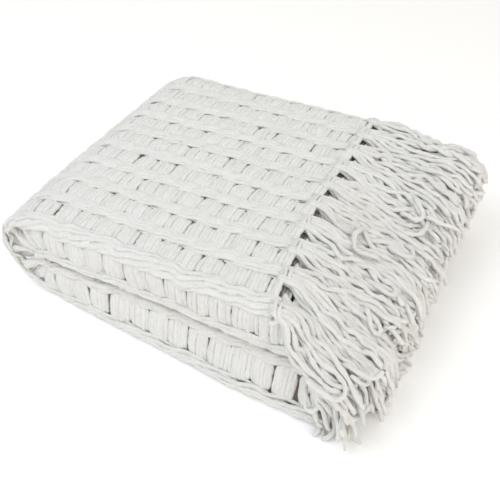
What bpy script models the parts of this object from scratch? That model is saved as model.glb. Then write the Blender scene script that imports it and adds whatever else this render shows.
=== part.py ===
# A chenille throw, folded: one woven cloth and the fringe at each of its two ends.
# The cloth is doubled end to end, folded in three across its width and folded over once
# more, so twelve layers lie in the stack. Both fringed ends come out at the right.
# Metres, +Z up. Rows of the weave run along X, the long folds lie along the front (-Y)
# and the back (+Y), the last fold is at the left (-X), and the stack rests on Z = 0.

import math

import bmesh
import bpy

# Cloth
LAYER_PITCH = 0.014         # from the middle of one layer to the middle of the next
CLOTH_THICKNESS = 0.009     # bulky yarn, over and under
BAND_PITCH = 0.042          # from one warp band of the weave to the next, across the throw
STACK_DEPTH = 0.425         # front fold to back fold
HALF_LEVELS = 5.5           # level of the outermost layer above the middle of the stack

# Folds seen from the end: level is counted in layer pitches from the middle of the stack
OUTER_PANEL_LEVEL = 5.0     # middle of the doubled outer panel
INNER_FLAP_LEVEL = 3.0      # flap folded in first, from the back
LAST_FLAP_LEVEL = 1.0       # flap folded in last, from the front
FRONT_FOLD_BULGE = 0.0202   # how far the front fold stands out of its flat panels
BACK_FOLD_BULGE = 0.013     # and the back fold
FLAP_SETBACK = 0.012        # a flap's edge stops this far short of the fold it points at

# Places along X, counted from the start of the left fold
OUTER_HEM = 0.292           # end of the outermost layer
BOTTOM_REACH = 0.385        # end of the layers below, where the doubled cloth turns back
HEM_STEP = 0.016            # each layer inwards comes out this much further
HEM_FRONT = 0.042           # the hem runs out this much further at the front
HEM_BACK = 0.020            # and at the back
HEM_BEND = 1.4              # power of the hem's curve from the middle to the corners
LEFT_STRETCH = 1.16         # the left fold reaches out further than its own half height

# Unevenness
LEFT_HEIGHT = 0.88          # height at the left fold, as a share of the height at the right
CROWN = 0.008               # the top falls this much towards the front and back
BOTTOM_ARCH = 0.0003        # the bottom is hollow by this much each way, so it rests at its corners
LUMP = 0.0018               # soft waves of the top
LUMP_WAVES = (19.0, 5.0, -6.0, 13.0)    # radians a metre: first wave's X and Y, second's
EDGE_WAVE = 0.0022          # soft waves of the front and back folds
EDGE_WAVES = (23.0, 14.0)   # radians a metre along X and up Z
EDGE_POWER = 3              # the waves and the spread gather near the folds
EDGE_FADE = 3               # and fade to nothing below this fraction of the height
UPPER_SPREAD = (0.005, 0.011)     # the top stands out in front of the middle, left and right
LOWER_SPREAD = (-0.014, 0.017)    # the bottom lies back at the left and out at the right
BACK_SPREAD = 0.005         # top and bottom stand out behind the middle
SPREAD_POWER = 1.5

# Fringe
FRINGE_LENGTH = 0.165
FRINGE_THICKNESS = 0.0055
BUNCH_WIDTH = 0.026
HEADER_DEPTH = 0.009        # joined strip where the bunches leave the cloth
SEAM_GAP = 0.0022           # between the hem and the fringe, before the hem's own curve
CHORD_ERROR = 0.0007        # a flat facet of the fringe may miss the fold's arc by this
FALL_FIRST = 0.403          # X where the innermost fringe hangs straight down
FALL_STEP = (0.0085, 0.0115)      # each layer outwards hangs further out, front and back
FALL_BOW = 0.013            # the middle of the stack pushes its fringe out further
FALL_ROUNDNESS = 0.62       # height of the bend over the edge, as a share of its reach
FRONT_DRIFT = 0.014         # bunches at the front drift back as they fall
BACK_DRIFT = 0.018          # and those at the back drift further back
DRIFT_POWER = 1.5
FLOOR_CLEARANCE = 0.0135    # the tips end this far above the floor

# The throw's width, from edge to edge, as it goes round the folds
PROFILE = (
    # section, steps
    ("inner_flap", 5),
    ("back_fold", 8),
    ("outer_panel", 9),
    ("front_fold", 10),
    ("last_flap", 5),
)

# The throw's length, from the outer hem to the inner hem
PATH = (
    # section, side of the doubled cloth, steps
    ("top_run", "outer", 8),
    ("left_turn", "outer", 8),
    ("bottom_run", "outer", 2),
    ("right_turn", "both", 4),
    ("bottom_run", "inner", 2),
    ("left_turn", "inner", 7),
    ("top_run", "inner", 5),
)

YARN_COLOUR = (0.86, 0.84, 0.79, 1.0)

HALF_PITCH = LAYER_PITCH / 2
PANEL_FRONT = FRONT_FOLD_BULGE + HALF_PITCH + CLOTH_THICKNESS / 2
PANEL_BACK = STACK_DEPTH - BACK_FOLD_BULGE - HALF_PITCH - CLOTH_THICKNESS / 2
PROFILE_SAMPLES = 60        # points on each section of the folded edge
FALL_STEPS = 24             # points on the bend of the fringe
FRINGE_ROWS = 7             # rows of faces from the hem to the tips, the header's among them


def clear_scene():
    for item in list(bpy.data.objects):
        bpy.data.objects.remove(item, do_unlink=True)


def mix(first, second, share):
    return first + (second - first) * share


def fold_arc(y, level_from, level_to, bulge, share):
    """A rounded fold at y, from one level to another, and the way out of it."""
    angle = math.pi * share
    middle = (level_from + level_to) / 2 * LAYER_PITCH
    radius = (level_from - level_to) / 2 * LAYER_PITCH
    side = (bulge * math.sin(angle), radius * math.cos(angle))
    out = (math.sin(angle) / bulge, math.cos(angle) / radius)
    size = math.hypot(*out)
    return y + side[0], middle + side[1], out[0] / size, out[1] / size


def profile_point(section, share):
    """Middle of the doubled cloth: y, height above the stack's middle, outward direction."""
    if section == "inner_flap":
        start = PANEL_FRONT - FRONT_FOLD_BULGE + FLAP_SETBACK + CLOTH_THICKNESS
        return mix(start, PANEL_BACK, share), INNER_FLAP_LEVEL * LAYER_PITCH, 0.0, -1.0
    if section == "back_fold":
        y, height, out_y, out_z = fold_arc(
            PANEL_BACK, OUTER_PANEL_LEVEL, INNER_FLAP_LEVEL, BACK_FOLD_BULGE, 1 - share)
        return y, height, out_y, out_z
    if section == "outer_panel":
        return mix(PANEL_BACK, PANEL_FRONT, share), OUTER_PANEL_LEVEL * LAYER_PITCH, 0.0, 1.0
    if section == "front_fold":
        y, height, out_y, out_z = fold_arc(
            0.0, OUTER_PANEL_LEVEL, LAST_FLAP_LEVEL, FRONT_FOLD_BULGE, share)
        return PANEL_FRONT - y, height, -out_y, out_z
    end = STACK_DEPTH - FLAP_SETBACK
    return mix(PANEL_FRONT, end, share), LAST_FLAP_LEVEL * LAYER_PITCH, 0.0, -1.0


def layer_point(section, share, offset):
    """A point of one side of the doubled cloth, as y and height."""
    y, height, out_y, out_z = profile_point(section, share)
    return y + out_y * offset, height + out_z * offset


def length_share(x):
    """0 at the start of the left fold, 1 at the right."""
    return min(max(x / BOTTOM_REACH, 0.0), 1.0)


def height_share(x):
    """The stack grows taller towards the right."""
    return mix(LEFT_HEIGHT, 1.0, length_share(x))


def across_stack(y):
    """-1 at the front, 1 at the back."""
    return (y - STACK_DEPTH / 2) / (STACK_DEPTH / 2)


def middle_height(x):
    """Height of the crease between the stack's upper and lower halves."""
    return height_share(x) * HALF_LEVELS * LAYER_PITCH + CLOTH_THICKNESS / 2


def hem_x(y, height):
    """Where a layer of the upper half ends."""
    inwards = HALF_LEVELS - height / LAYER_PITCH
    across = across_stack(y)
    bow = (HEM_FRONT if across < 0 else HEM_BACK) * (1 - inwards / HALF_LEVELS)
    return OUTER_HEM + HEM_STEP * inwards + bow * abs(across) ** HEM_BEND


def settle(x, y, z):
    """The soft unevenness of the stack. It fades towards the floor."""
    share = (z - CLOTH_THICKNESS / 2) / (2 * HALF_LEVELS * LAYER_PITCH)
    across = across_stack(y)
    middle = middle_height(x)
    level = abs(z - middle) / (middle - CLOTH_THICKNESS / 2)
    spread = BACK_SPREAD
    if across < 0:
        spread = mix(*(UPPER_SPREAD if z > middle else LOWER_SPREAD), length_share(x))
    first_x, first_y, second_x, second_y = LUMP_WAVES
    lumps = math.sin(first_x * x + first_y * y + 1) * math.cos(second_x * x + second_y * y)
    along, upwards = EDGE_WAVES
    wave = EDGE_WAVE * math.sin(along * x + upwards * z) * min(share * EDGE_FADE, 1.0)
    edge = math.copysign(abs(across) ** EDGE_POWER, across)
    new_y = y + edge * (wave + spread * level ** SPREAD_POWER)
    midway = 2 * length_share(x) - 1
    arch = BOTTOM_ARCH * (2 - across * across - midway * midway)
    lift = mix(arch, LUMP * lumps - CROWN * across * across, share)
    return x, new_y, z + lift


def station(section, side, share, section_profile, share_profile):
    """A point of the cloth: where it is along its length and across its width."""
    offset = HALF_PITCH if side == "outer" else -HALF_PITCH
    if side == "both":
        offset = HALF_PITCH * math.cos(math.pi * share)
    y, height = layer_point(section_profile, share_profile, offset)
    if side == "inner":
        share = 1 - share
    if section == "left_turn":
        angle = math.pi * share
        reach = height * LEFT_HEIGHT
        x = -reach * LEFT_STRETCH * math.sin(angle)
        return settle(x, y, middle_height(0.0) + reach * math.cos(angle))
    if section == "top_run":
        x = mix(hem_x(y, height), 0.0, share)
    elif section == "bottom_run":
        x = mix(0.0, BOTTOM_REACH, share)
    else:
        x = BOTTOM_REACH + HALF_PITCH * math.sin(math.pi * share)
    sign = 1 if section == "top_run" else -1
    return settle(x, y, middle_height(x) + sign * height_share(x) * height)


def shares(table):
    """Every row of a table, cut into its steps; sections share their ends."""
    stops = []
    for row in table:
        first = 0 if not stops else 1
        stops += [(row[:-1], step / row[-1]) for step in range(first, row[-1] + 1)]
    return stops


def sheet_object(name, points, missing, thickness, collection):
    """A grid of points made into a solid sheet. Faces in missing are left open."""
    rows = len(points)
    columns = len(points[0])
    mesh = bpy.data.meshes.new(name)
    grid = bmesh.new()
    bmesh.ops.create_grid(grid, x_segments=columns - 1, y_segments=rows - 1, size=1.0)
    grid.verts.ensure_lookup_table()
    grid.faces.ensure_lookup_table()
    order = sorted(grid.verts, key=lambda vert: (round(vert.co.y, 5), round(vert.co.x, 5)))
    holes = []
    for face in grid.faces:
        centre = face.calc_center_median()
        row = int((centre.y + 1) / 2 * (rows - 1))
        column = int((centre.x + 1) / 2 * (columns - 1))
        if (row, column) in missing:
            holes.append(face)
    for index, vert in enumerate(order):
        vert.co = points[index // columns][index % columns]
    bmesh.ops.delete(grid, geom=holes, context="FACES")
    bmesh.ops.recalc_face_normals(grid, faces=grid.faces)
    grid.to_mesh(mesh)
    grid.free()
    item = bpy.data.objects.new(name, mesh)
    collection.objects.link(item)
    solid = item.modifiers.new("thickness", "SOLIDIFY")
    solid.thickness = thickness
    solid.offset = 0.0
    return item


def make_cloth(collection):
    points = []
    for (section, side), share in shares(PATH):
        row = [station(section, side, share, across[0], across_share)
               for across, across_share in shares(PROFILE)]
        points.append(row)
    return sheet_object("throw_cloth", points, set(), CLOTH_THICKNESS, collection)


def with_lengths(points):
    """Each point with its distance along the line from the first."""
    line = [(0.0, points[0])]
    for point in points[1:]:
        line.append((line[-1][0] + math.dist(point, line[-1][1]), point))
    return line


def edge_line(offset):
    """The folded edge of one end, from one corner to the other, each point a y and a height."""
    points = []
    for section, _ in PROFILE:
        points += [layer_point(section, step / PROFILE_SAMPLES, offset)
                   for step in range(PROFILE_SAMPLES)]
    return with_lengths(points)


def point_at(line, length):
    """The place this far along a line of lengths and points."""
    for (start, first), (end, second) in zip(line, line[1:]):
        if end >= length:
            share = (length - start) / (end - start)
            return mix(first[0], second[0], share), mix(first[1], second[1], share)
    return line[-1][1]


def facet_stops(line, start, end):
    """The stops after start that keep flat facets close to the edge's own arc."""
    first = point_at(line, start)
    last = point_at(line, end)
    middle = point_at(line, (start + end) / 2)
    chord = (mix(first[0], last[0], 0.5), mix(first[1], last[1], 0.5))
    if math.dist(middle, chord) < CHORD_ERROR:
        return [end]
    halfway = (start + end) / 2
    return facet_stops(line, start, halfway) + facet_stops(line, halfway, end)


def fall_line(y, height):
    """How the fringe lies at one place of the hem: out over the edge, then down.

    A list of lengths and points, each point an x and a z, ending just above the floor.
    """
    start_x = hem_x(y, height)
    start_z = middle_height(start_x) + height_share(start_x) * height
    start_x, start_y, start_z = settle(start_x, y, start_z)
    start_x += SEAM_GAP
    fall_x = FALL_FIRST + mix(*FALL_STEP, y / STACK_DEPTH) * (height / LAYER_PITCH - 0.5)
    fall_x += FALL_BOW * (1 - across_stack(y) ** 2)
    reach = fall_x - start_x
    drop = FALL_ROUNDNESS * reach
    angles = [math.pi / 2 * step / FALL_STEPS for step in range(FALL_STEPS + 1)]
    points = [(start_x + reach * math.sin(angle), start_z - drop * (1 - math.cos(angle)))
              for angle in angles]
    points.append((fall_x, FLOOR_CLEARANCE))
    return start_y, with_lengths(points)


def fringe_column(y, height):
    """The points of the fringe from one place of the hem to its tip."""
    start_y, line = fall_line(y, height)
    whole = min(FRINGE_LENGTH, line[-1][0])
    across = across_stack(y)
    drift = (FRONT_DRIFT if across < 0 else BACK_DRIFT) * abs(across)
    column = []
    for row in range(FRINGE_ROWS + 1):
        length = mix(HEADER_DEPTH, whole, (row - 1) / (FRINGE_ROWS - 1)) if row else 0.0
        x, z = point_at(line, length)
        column.append((x, start_y + drift * (length / FRINGE_LENGTH) ** DRIFT_POWER, z))
    return column


def make_fringe(name, offset, collection):
    edge = edge_line(offset)
    width = edge[-1][0]
    bunches = int(width / BAND_PITCH)
    margin = (width - (bunches - 1) * BAND_PITCH - BUNCH_WIDTH) / 2
    stops = [margin]
    between = []
    for bunch in range(bunches):
        start = margin + bunch * BAND_PITCH
        if bunch:
            facets = facet_stops(edge, stops[-1], start)
            between += [len(stops) - 1 + index for index in range(len(facets))]
            stops += facets
        stops += facet_stops(edge, start, start + BUNCH_WIDTH)
    columns = [fringe_column(*point_at(edge, stop)) for stop in stops]
    points = list(zip(*columns))
    missing = {(row, column) for row in range(1, FRINGE_ROWS) for column in between}
    return sheet_object(name, points, missing, FRINGE_THICKNESS, collection)


def make_material(name, colour, roughness):
    material = bpy.data.materials.new(name)
    material.use_nodes = True
    shader = material.node_tree.nodes["Principled BSDF"]
    shader.inputs["Base Color"].default_value = colour
    shader.inputs["Roughness"].default_value = roughness
    shader.inputs["Metallic"].default_value = 0.0
    return material


def stand_on_origin(items):
    """Moves everything so that the origin is under the middle of the whole throw."""
    corners = []
    view = bpy.context.view_layer
    view.update()
    for item in items:
        shape = item.evaluated_get(view.depsgraph)
        corners += [vert.co.copy() for vert in shape.to_mesh().vertices]
        shape.to_mesh_clear()
    low = [min(corner[axis] for corner in corners) for axis in range(3)]
    high = [max(corner[axis] for corner in corners) for axis in range(3)]
    for item in items:
        item.location = (-(low[0] + high[0]) / 2, -(low[1] + high[1]) / 2, -low[2])


def build():
    clear_scene()
    collection = bpy.data.collections.new("chenille_throw")
    bpy.context.scene.collection.children.link(collection)
    cloth = make_cloth(collection)
    outer = make_fringe("fringe_outer_end", HALF_PITCH, collection)
    inner = make_fringe("fringe_inner_end", -HALF_PITCH, collection)
    for item, roughness in ((cloth, 0.95), (outer, 0.9), (inner, 0.9)):
        item.data.materials.append(make_material(item.name + "_yarn", YARN_COLOUR, roughness))
    stand_on_origin((cloth, outer, inner))


build()
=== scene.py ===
# The looks of a folded chenille throw, built yarn by yarn on the folds of its imported model.
# A base sheet follows every layer, dark as painted shade where it shows in the slits of the weave.
# On its outer side lie the weft yarns, in blocks of six, and the warp bands between the rows of
# blocks. The warp ends leave both hems as fringe.
# Metres, +Z up. s runs along the throw's length and t across it, both on the cloth.

import itertools
import math

import bpy
import numpy as np
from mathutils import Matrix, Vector


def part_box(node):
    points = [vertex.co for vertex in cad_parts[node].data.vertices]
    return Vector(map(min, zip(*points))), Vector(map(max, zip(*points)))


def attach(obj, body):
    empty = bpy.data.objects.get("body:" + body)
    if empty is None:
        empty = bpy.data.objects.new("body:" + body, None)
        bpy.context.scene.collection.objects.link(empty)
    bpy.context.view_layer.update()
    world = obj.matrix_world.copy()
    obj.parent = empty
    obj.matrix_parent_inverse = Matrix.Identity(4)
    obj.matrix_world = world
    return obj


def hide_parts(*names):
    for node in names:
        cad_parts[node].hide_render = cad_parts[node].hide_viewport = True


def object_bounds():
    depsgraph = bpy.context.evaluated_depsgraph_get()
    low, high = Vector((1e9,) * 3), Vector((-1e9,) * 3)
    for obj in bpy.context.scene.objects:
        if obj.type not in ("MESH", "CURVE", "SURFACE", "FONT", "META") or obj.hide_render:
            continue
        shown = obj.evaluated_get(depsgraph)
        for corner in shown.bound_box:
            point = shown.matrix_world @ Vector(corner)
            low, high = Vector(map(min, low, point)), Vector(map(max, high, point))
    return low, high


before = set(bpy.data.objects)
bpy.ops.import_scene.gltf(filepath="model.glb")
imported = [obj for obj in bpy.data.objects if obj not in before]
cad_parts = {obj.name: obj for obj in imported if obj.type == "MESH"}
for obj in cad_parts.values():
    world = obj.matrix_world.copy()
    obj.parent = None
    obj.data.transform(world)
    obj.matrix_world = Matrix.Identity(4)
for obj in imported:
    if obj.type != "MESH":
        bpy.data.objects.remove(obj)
CAD_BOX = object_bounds()
CLOTH_LOW, CLOTH_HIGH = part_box("throw_cloth")

# The fold of the cloth, in the sizes of its solid
LAYER_PITCH = 0.014
CLOTH_THICKNESS = 0.009
STACK_DEPTH = 0.425
HALF_LEVELS = 5.5
OUTER_PANEL_LEVEL = 5.0
INNER_FLAP_LEVEL = 3.0
LAST_FLAP_LEVEL = 1.0
SOLID_FRONT_BULGE = 0.0202
FRONT_FOLD_BULGE = 0.0045  # the cloth on the front is flatter than its solid
BACK_FOLD_BULGE = 0.013
FLAP_SETBACK = 0.014
LAST_FLAP_SETBACK = 0.012
OUTER_HEM = 0.292
BOTTOM_REACH = 0.385
HEM_STEP = 0.016
HEM_FRONT = 0.042
HEM_BACK = -0.006  # the cloth's back corner is shorter than its solid's
HEM_BEND = 1.4
LEFT_STRETCH = 1.16
LEFT_HEIGHT = 0.88
CROWN = 0.008
BOTTOM_ARCH = 0.0003
LUMP = 0.0018
LUMP_WAVES = (19.0, 5.0, -6.0, 13.0)
EDGE_WAVE = 0.0022
EDGE_WAVES = (23.0, 14.0)
EDGE_POWER = 3
EDGE_FADE = 3
UPPER_SPREAD = 0.005
LOWER_SPREAD = (-0.002, 0.025)
LOWER_REACH = 0.285  # x where the lower half's front stops spreading
BACK_SPREAD = 0.005
SPREAD_POWER = 1.5
HALF_PITCH = LAYER_PITCH / 2
PANEL_FRONT = SOLID_FRONT_BULGE + HALF_PITCH + CLOTH_THICKNESS / 2
PANEL_BACK = STACK_DEPTH - BACK_FOLD_BULGE - HALF_PITCH - CLOTH_THICKNESS / 2
TURN_LENGTH = 0.228  # round the left fold
BOTTOM_END = -TURN_LENGTH - BOTTOM_REACH  # s where the inner turn starts

# The weave. Of the rows of blocks, row -1 and row 0 are on the front and the others on the top.
# Rows past BACK_ROW, and the bands before them, run on along the lower half.
YARN = 0.0050  # diameter of the chenille yarn
YARN_SIDES = 6
PILE_LUMPS = 0.12  # its pile is uneven by this share of its width
BLOCK_YARNS = 6
YARN_STEP = 0.0047  # from one weft yarn to the next in a block
BLOCK_PITCH = 0.0298  # from one block to the next along a row
ROW_PITCH = 0.0426  # from one row of blocks to the next
ROWS = 11
BACK_ROW = 8
FRONT_ROW = 0.004  # t of row 0's middle
FRONT_FLOAT = 0.0300  # its yarns are stretched round the fold
TOP_ROW = 0.0639  # t of the first row on the top
TOP_FLOAT = 0.0170  # half of a weft yarn's float, its buried ends among it
LIP_BAND = 0.0385  # t of the band along the front edge of the top
MIDDLE_BAND = -0.031  # t of the band under row 0
SKEW = 0.79  # rows and bands are shifted along each other, more so at the front
SKEW_MIDDLE = 0.277

SECTIONS = ("inner_flap", "back_fold", "outer_panel", "front_fold", "last_flap")
rng = np.random.default_rng(20)


def mix(first, second, share):
    return first + (second - first) * share


def ramp(value, start, length):
    """0 up to the start, 1 from length past it on, and a soft slope between. With a length
    below 0 it climbs the other way."""
    share = np.clip((value - start) / length, 0, 1)
    return share * share * (3 - 2 * share)


def hill(value, middle, width, power=2):
    """1 at the middle, and softly down to 0 on both sides of it."""
    return np.exp(-((value - middle) / width) ** power)


def lengths_along(first, second):
    """The length of a flat path up to each of its points."""
    steps = np.hypot(np.diff(first), np.diff(second))
    return np.concatenate([[0], np.cumsum(steps)])


# -------- the folded cloth

def fold_arc(y, level_from, level_to, bulge, share):
    angle = np.pi * share
    middle = (level_from + level_to) / 2 * LAYER_PITCH
    radius = (level_from - level_to) / 2 * LAYER_PITCH
    out_y = np.sin(angle) / bulge
    out_z = np.cos(angle) / radius
    size = np.hypot(out_y, out_z)
    return (y + bulge * np.sin(angle), middle + radius * np.cos(angle),
            out_y / size, out_z / size)


def profile_section(section, share):
    """The middle of the doubled cloth: y, height and the way out, at each share."""
    ones = np.ones_like(share)
    if section == "inner_flap":
        y = mix(PANEL_FRONT + FLAP_SETBACK, PANEL_BACK, share)
        return y, ones * INNER_FLAP_LEVEL * LAYER_PITCH, ones * 0, -ones
    if section == "back_fold":
        return fold_arc(
            PANEL_BACK, OUTER_PANEL_LEVEL, INNER_FLAP_LEVEL, BACK_FOLD_BULGE, 1 - share)
    if section == "outer_panel":
        y = mix(PANEL_BACK, PANEL_FRONT, share)
        return y, ones * OUTER_PANEL_LEVEL * LAYER_PITCH, ones * 0, ones
    if section == "front_fold":
        y, height, out_y, out_z = fold_arc(
            0.0, OUTER_PANEL_LEVEL, LAST_FLAP_LEVEL, FRONT_FOLD_BULGE, share)
        return PANEL_FRONT - y, height, -out_y, out_z
    y = mix(PANEL_FRONT, STACK_DEPTH - LAST_FLAP_SETBACK, share)
    return y, ones * LAST_FLAP_LEVEL * LAYER_PITCH, ones * 0, -ones


def ply_at(profile, offset):
    """y and height of the ply that lies offset outside the middle of the doubled cloth."""
    y, height, out_y, out_z = profile
    return y + out_y * offset, height + out_z * offset


class Profile:
    """The folded edge of one ply, read by its length t, which is 0 at the middle of the
    front fold and grows over the top towards the back."""

    SAMPLES = 400

    def __init__(self, offset):
        share = np.linspace(0, 1, self.SAMPLES)
        parts = [np.array(profile_section(section, share)) for section in SECTIONS]
        self.table = np.concatenate([parts[0]] + [part[:, 1:] for part in parts[1:]], axis=1)
        length = lengths_along(*ply_at(self.table, offset))
        front = (SECTIONS.index("front_fold") + 0.5) * (self.SAMPLES - 1)
        self.t = length[int(front)] - length
        self.order = np.argsort(self.t)

    def at(self, t):
        return [np.interp(t, self.t[self.order], column[self.order]) for column in self.table]


def height_share(x):
    return mix(LEFT_HEIGHT, 1.0, np.clip(x / BOTTOM_REACH, 0, 1))


def middle_height(x):
    return height_share(x) * HALF_LEVELS * LAYER_PITCH + CLOTH_THICKNESS / 2


def across_stack(y):
    """-1 at the stack's front, 1 at its back."""
    return (y - STACK_DEPTH / 2) / (STACK_DEPTH / 2)


def hem_x(y, height):
    inwards = HALF_LEVELS - height / LAYER_PITCH
    across = across_stack(y)
    bow = np.where(across < 0, HEM_FRONT, HEM_BACK) * (1 - inwards / HALF_LEVELS)
    return OUTER_HEM + HEM_STEP * inwards + bow * np.abs(across) ** HEM_BEND


def settle(x, y, z):
    """The soft unevenness of the stack."""
    share = (z - CLOTH_THICKNESS / 2) / (2 * HALF_LEVELS * LAYER_PITCH)
    across = across_stack(y)
    middle = middle_height(x)
    level = np.abs(z - middle) / (middle - CLOTH_THICKNESS / 2)
    reach = np.clip(x / BOTTOM_REACH, 0, 1)
    lower = mix(*LOWER_SPREAD, np.clip(x / LOWER_REACH, 0, 1))
    front = np.where(z > middle, UPPER_SPREAD, lower)
    spread = np.where(across < 0, front, BACK_SPREAD)
    first_x, first_y, second_x, second_y = LUMP_WAVES
    lumps = np.sin(first_x * x + first_y * y + 1) * np.cos(second_x * x + second_y * y)
    along, upwards = EDGE_WAVES
    wave = EDGE_WAVE * np.sin(along * x + upwards * z) * np.minimum(share * EDGE_FADE, 1)
    edge = np.copysign(np.abs(across) ** EDGE_POWER, across)
    new_y = y + edge * (wave + spread * level ** SPREAD_POWER)
    midway = 2 * reach - 1
    arch = BOTTOM_ARCH * (2 - across * across - midway * midway)
    lift = mix(arch, LUMP * lumps - CROWN * across * across, share)
    return np.stack([x, new_y, z + lift], axis=-1)


def cloth_point(s, profile, rise):
    """Places on the cloth. s is above 0 on the top, then runs round the left fold and back
    along the bottom. profile is what Profile.at gives, and rise is from the middle of the
    doubled cloth outwards."""
    y, height, out_y, out_z = profile
    bottom = -s - TURN_LENGTH
    turn = np.clip((bottom - BOTTOM_REACH) / (np.pi * HALF_PITCH), 0, 1) * np.pi
    side = rise * np.cos(turn)
    y = y + out_y * side
    height = height + out_z * side
    angle = np.pi * np.clip(-s / TURN_LENGTH, 0, 1)
    x = np.where(s > 0, s, np.clip(bottom, 0, BOTTOM_REACH) + rise * np.sin(turn))
    tall = np.where((s > 0) | (bottom > 0), height_share(x), LEFT_HEIGHT)
    x = x - height * LEFT_HEIGHT * LEFT_STRETCH * np.sin(angle)
    z = middle_height(np.maximum(x, 0)) + tall * height * np.cos(angle)
    return settle(x, y, z)


UP_STEP = 0.001  # to a point over a yarn's middle, which shows the way up


def cloth_path(s, profile, rise, side=1):
    """A yarn's path on the cloth, and the way out of the cloth along it."""
    path = cloth_point(s, profile, rise)
    return path, cloth_point(s, profile, rise + side * UP_STEP) - path


OUTER = Profile(HALF_PITCH)
INNER = Profile(-HALF_PITCH)
PLACE_T = (-0.05, 0.46)  # t from the front fold to past the back fold
PLACE_SAMPLES = (200, 400)


def find_place():
    """The step from the fold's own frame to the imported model's."""
    s = np.linspace(-TURN_LENGTH, 0, PLACE_SAMPLES[0])
    t = np.linspace(*PLACE_T, PLACE_SAMPLES[1])
    grid_s, grid_t = np.meshgrid(s, t)
    points = cloth_point(grid_s, OUTER.at(grid_t), HALF_PITCH + CLOTH_THICKNESS / 2)
    low = points.reshape(-1, 3).min(axis=0)
    return np.array([CLOTH_LOW[0] - low[0], CLOTH_HIGH[1] - points[..., 1].max(), 0.0])


PLACE = find_place()


def hem_at(t):
    """s of the outer hem."""
    return float(hem_x(*ply_at(OUTER.at(t), HALF_PITCH)))


def row_shift(t):
    return SKEW * (max(t, TOP_ROW) - SKEW_MIDDLE) ** 2


# -------- the front's own shape

# A RAMP is its start and its length, here in t
FRONT_ROW_SINK = 0.0022  # row 0 lies deeper than the bands beside it
FRONT_ROW_REACH = 0.85 * FRONT_FLOAT
FOLD_POCKET = 0.010  # all under the front edge is deeper still round the left fold
POCKET_LENGTH = 0.075  # half the length of that place
POCKET_LUMPS = 0.0062  # the cloth bulges out of it in slanting folds
LUMP_PITCH = 0.043
LUMP_SLANT = 0.35
LUMP_START = 1.0  # radians
LUMP_RAMP = (MIDDLE_BAND, 0.03)
SMALL_LUMPS = 0.35  # small bumps among them, by their share, and their waves in s and t
SMALL_WAVES = (150, 160)
SHADOW_POCKET = (0.012, -0.058, 0.022)  # a deeper place under the lip: depth, s and length
SHADOW_RAMP = (0.002, 0.02)
RIDGE_SHARE = 0.9  # the middle band stays up in the pocket
RIDGE_WIDTH = 0.008
LIP_RAMP = (LIP_BAND - 0.006, -0.012)  # the pocket ends just under the lip band
LOWER_DRAW = 0.011  # the lower half's front is drawn up into the crease,
LOWER_DRAW_RAMP = (MIDDLE_BAND - 0.03, 0.05)
UPPER_DRAW = 0.004  # and the upper half's middle band lies higher on the front
UPPER_DRAW_RAMP = (0.01, -0.04)
WOBBLE = (0.0017, 0.0010)  # the rows on the front are crooked, in waves of these lengths
WOBBLE_LENGTHS = (0.083, 0.047)
WOBBLE_TURN = 30  # radians a metre of t
WOBBLE_RAMP = (LIP_BAND + 0.03, -0.03)


def front_sink(s, t):
    """How deep inside its fold the cloth on the front lies."""
    pocket = FOLD_POCKET * hill(s, -TURN_LENGTH / 2, POCKET_LENGTH)
    row = FRONT_ROW_SINK * hill(t, FRONT_ROW, FRONT_ROW_REACH, 4)
    lumps = np.cos(2 * np.pi * (s + LUMP_SLANT * t) / LUMP_PITCH + LUMP_START)
    lumps = lumps * ramp(t, *LUMP_RAMP)
    lumps = lumps + SMALL_LUMPS * np.sin(SMALL_WAVES[0] * s + SMALL_WAVES[1] * t)
    depth = pocket * (1 + lumps * POCKET_LUMPS / FOLD_POCKET)
    extra, middle, length = SHADOW_POCKET
    depth = depth + extra * hill(s, middle, length) * ramp(t, *SHADOW_RAMP)
    ridge = pocket * RIDGE_SHARE * hill(t, MIDDLE_BAND, RIDGE_WIDTH)
    return row + depth * ramp(t, *LIP_RAMP) - ridge


def drawn_in(s, t):
    """t, changed where the front is drawn up and its rows are crooked."""
    lower = ramp(s, -TURN_LENGTH / 2, -TURN_LENGTH)
    upper = ramp(s, -TURN_LENGTH, TURN_LENGTH)
    down = LOWER_DRAW * lower * ramp(t, *LOWER_DRAW_RAMP)
    up = UPPER_DRAW * upper * ramp(t, *UPPER_DRAW_RAMP)
    waves = [size * np.sin(2 * np.pi * s / length + WOBBLE_TURN * t)
             for size, length in zip(WOBBLE, WOBBLE_LENGTHS)]
    return t - down + sum(waves) * ramp(t, *WOBBLE_RAMP) + up


# -------- meshes

FLOOR_GAP = 0.0002  # what would be lower is pressed flat on the floor
TINY = 1e-9


def add_object(name, data):
    item = bpy.data.objects.new(name, data)
    bpy.context.scene.collection.objects.link(item)
    return item


def mesh_piece(name, vertices, faces, material):
    """A smooth piece, moved from the fold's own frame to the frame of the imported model."""
    points = vertices.reshape(-1, 3) + PLACE
    points[:, 2] = np.maximum(points[:, 2], CAD_BOX[0][2] + FLOOR_GAP)
    mesh = bpy.data.meshes.new(name)
    mesh.from_pydata(points.tolist(), [], faces)
    mesh.materials.append(material)
    mesh.shade_smooth()
    piece = add_object(name, mesh)
    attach(piece, "root")
    return piece


def point_values(piece, name, values):
    """A number at each point of a piece, which its material reads."""
    attribute = piece.data.attributes.new(name, "FLOAT", "POINT")
    attribute.data.foreach_set("value", values.ravel().astype(np.float32))


def grid_faces(rows, columns):
    index = np.arange(rows * columns).reshape(rows, columns)
    corners = (index[:-1, :-1], index[:-1, 1:], index[1:, 1:], index[1:, :-1])
    return np.stack(corners, axis=-1).reshape(-1, 4).tolist()


def unit(vectors):
    return vectors / np.maximum(np.linalg.norm(vectors, axis=-1, keepdims=True), TINY)


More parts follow.
